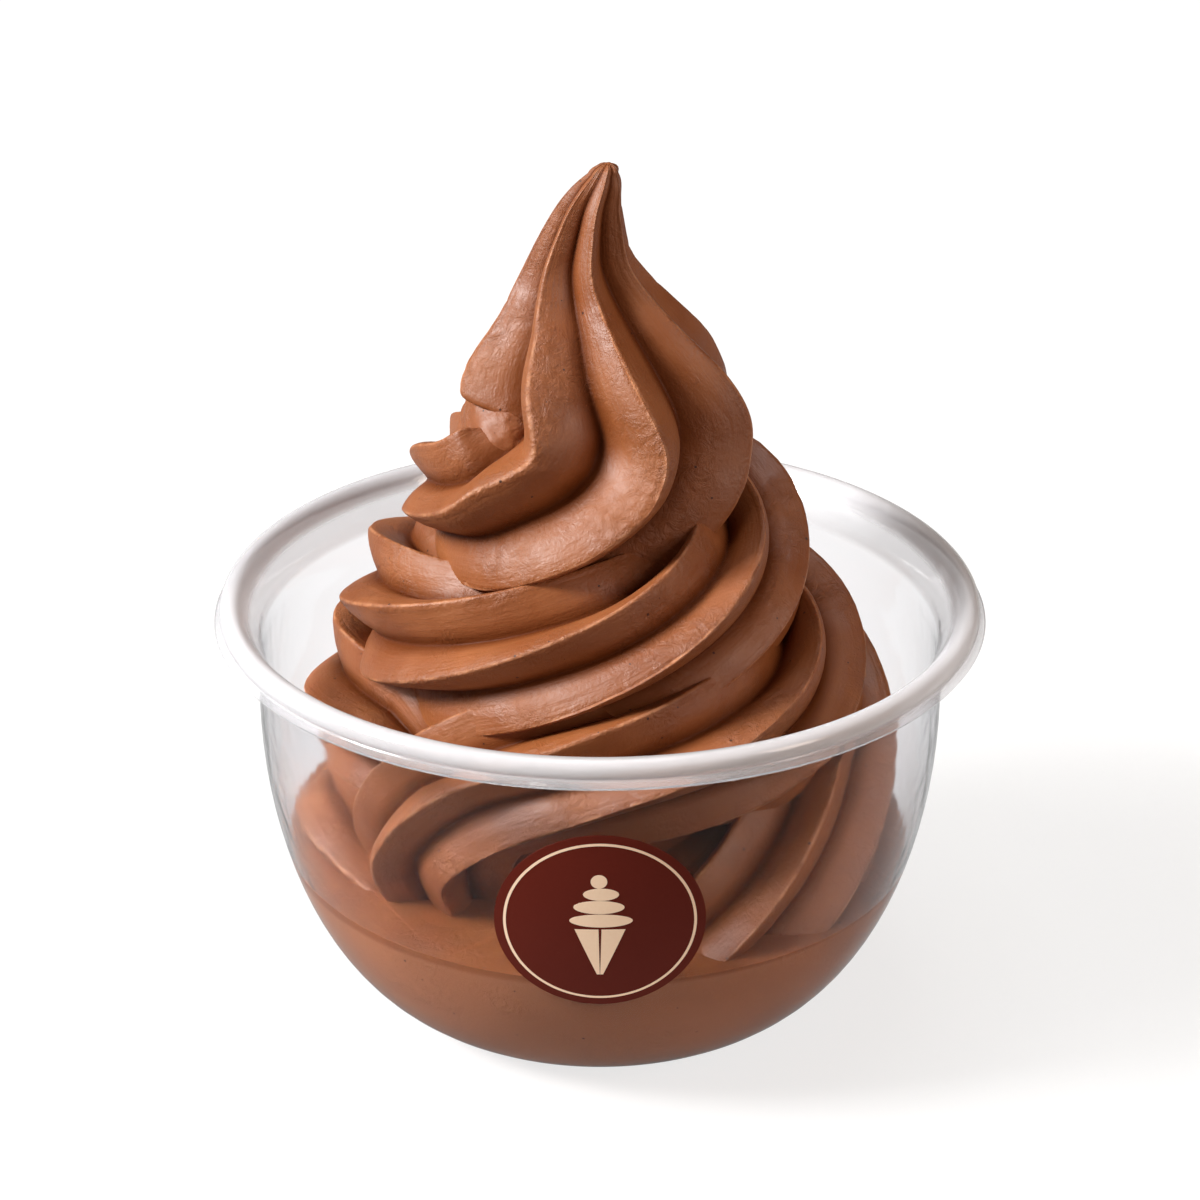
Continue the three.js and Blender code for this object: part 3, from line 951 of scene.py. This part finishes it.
def pale_floor():
    """Painted studio board, white and matt. Only the part close by throws light on to the
    object, and in front of the cup its gloss mirrors a dark board instead of this one."""
    material, tree, out = new_material("white_studio_board")
    seen, mirrored = ray_kinds(tree)
    place = add_node(tree, "TexCoord").outputs["Object"]
    depth = add_node(tree, "SeparateXYZ", {"Vector": place}).outputs["Y"]
    distance = add_node(tree, "VectorMath", {0: place}, operation="LENGTH").outputs["Value"]
    # How bright the mirrored board is, and how pale the part that throws light, with the two
    # places in mm between which each changes.
    levels = []
    for source, start, end, at_start, at_end in (
        (depth, -60, 40, 0.02, 0.6),
        (distance, 70, 150, 0.9, 0.15),
    ):
        inputs = {
            "Value": source,
            "From Min": start * MM,
            "From Max": end * MM,
            "To Min": at_start,
            "To Max": at_end,
        }
        levels.append(add_node(tree, "MapRange", inputs).outputs["Result"])
    card = add_node(tree, "Emission", {"Strength": levels[0]})
    thrown = add_node(tree, "BsdfDiffuse", {"Color": levels[1]})
    # As the camera sees it, the board is lit evenly, with a faint shadow of the cup.
    shaded = add_node(tree, "BsdfDiffuse", {"Color": linear("#8A8A8A")})
    glow = add_node(tree, "Emission", {"Color": linear("#FFFFFF"), "Strength": 0.75})
    bright = add_node(tree, "AddShader", {0: shaded.outputs[0], 1: glow.outputs[0]})
    unseen = add_node(
        tree, "MixShader", {"Fac": mirrored, 1: thrown.outputs[0], 2: card.outputs[0]}
    )
    board = add_node(tree, "MixShader", {"Fac": seen, 1: unseen.outputs[0], 2: bright.outputs[0]})
    tree.links.new(board.outputs[0], out.inputs["Surface"])
    return material


# ---------------------------------------------------------------- the studio


def add_camera():
    """The camera, in front of the cup and looking down on it."""
    data = bpy.data.cameras.new("camera")
    data.sensor_width = SENSOR_WIDTH
    data.lens = LENS
    data.clip_end = 20
    obj = bpy.data.objects.new("camera", data)
    bpy.context.scene.collection.objects.link(obj)
    tilt, distance, aim = math.radians(CAMERA_TILT), CAMERA_DISTANCE * MM, CAMERA_AIM * MM
    obj.location = (0, -distance * math.cos(tilt), aim + distance * math.sin(tilt))
    obj.rotation_euler = (math.pi / 2 - tilt, 0, 0)
    bpy.context.scene.camera = obj


def add_panel(name, place, size, power, colour="#FFFFFF"):
    """A rectangular softbox at a place, in metres, turned towards the middle of the object."""
    data = bpy.data.lights.new(name, "AREA")
    data.shape = "RECTANGLE"
    data.size, data.size_y = size
    data.energy = power
    data.color = linear(colour)[:3]
    obj = bpy.data.objects.new(name, data)
    bpy.context.scene.collection.objects.link(obj)
    obj.location = place
    towards = np.array([0, 0, PANEL_AIM * MM]) - np.array(place)
    pitch = math.atan2(math.hypot(towards[0], towards[1]), -towards[2])
    obj.rotation_euler = (pitch, 0, math.atan2(towards[1], towards[0]) - math.pi / 2)


def add_studio():
    """The surroundings, three softboxes and the floor."""
    scene = bpy.context.scene
    scene.view_settings.view_transform = "Standard"
    # The surroundings are seen as white, also through the cup, but give and mirror little light.
    world = bpy.data.worlds.new("studio")
    scene.world = world
    world.use_nodes = True
    tree = world.node_tree
    tree.nodes.clear()
    seen, mirrored = ray_kinds(tree)
    light, mirror, white = (
        add_node(tree, "Background", {"Color": linear(colour), "Strength": strength}).outputs[0]
        for colour, strength in (("#FFD6B2", 0.13), ("#FFFFFF", 0.05), ("#FFFFFF", 1.0))
    )
    unseen = add_node(tree, "MixShader", {"Fac": mirrored, 1: light, 2: mirror})
    around = add_node(tree, "MixShader", {"Fac": seen, 1: unseen.outputs[0], 2: white})
    out = tree.nodes.new("ShaderNodeOutputWorld")
    tree.links.new(around.outputs[0], out.inputs["Surface"])
    add_panel("key", (-1.7, -0.45, 1.32), (0.6, 0.6), 75.0)
    add_panel("top", (-0.1, 0.3, 2.2), (1.0, 1.0), 12.0)
    add_panel("side", (1.5, -0.9, 0.9), (0.5, 0.9), 13.0, "#FFEBDD")
    bpy.ops.object.select_all(action="DESELECT")
    bpy.ops.mesh.primitive_plane_add(size=6, location=(0, 0, 0))
    floor = bpy.context.object
    floor.name = "floor"
    floor.data.materials.append(pale_floor())


# ---------------------------------------------------------------- building the scene

add_camera()
cup = make_cup()
cup.data.materials.append(clear_plastic())
soft_serve = make_soft_serve()
soft_serve.data.materials.clear()
soft_serve.data.materials.append(chocolate_soft_serve())
label = make_label(
    cup,
    printed_paper("varnished_label_paper", "#5D1D12", "#642115", 0.1),
    printed_paper("cream_printing_ink", "#F6D6B6", "#FCE2C6", 0.2),
)
for piece, node, slot in (
    (cup, "cup", "clear_plastic"),
    (soft_serve, "soft_serve", "chocolate_soft_serve"),
    (label, "label", "label_paper"),
):
    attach(piece, "root")
    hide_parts(node)

add_studio()
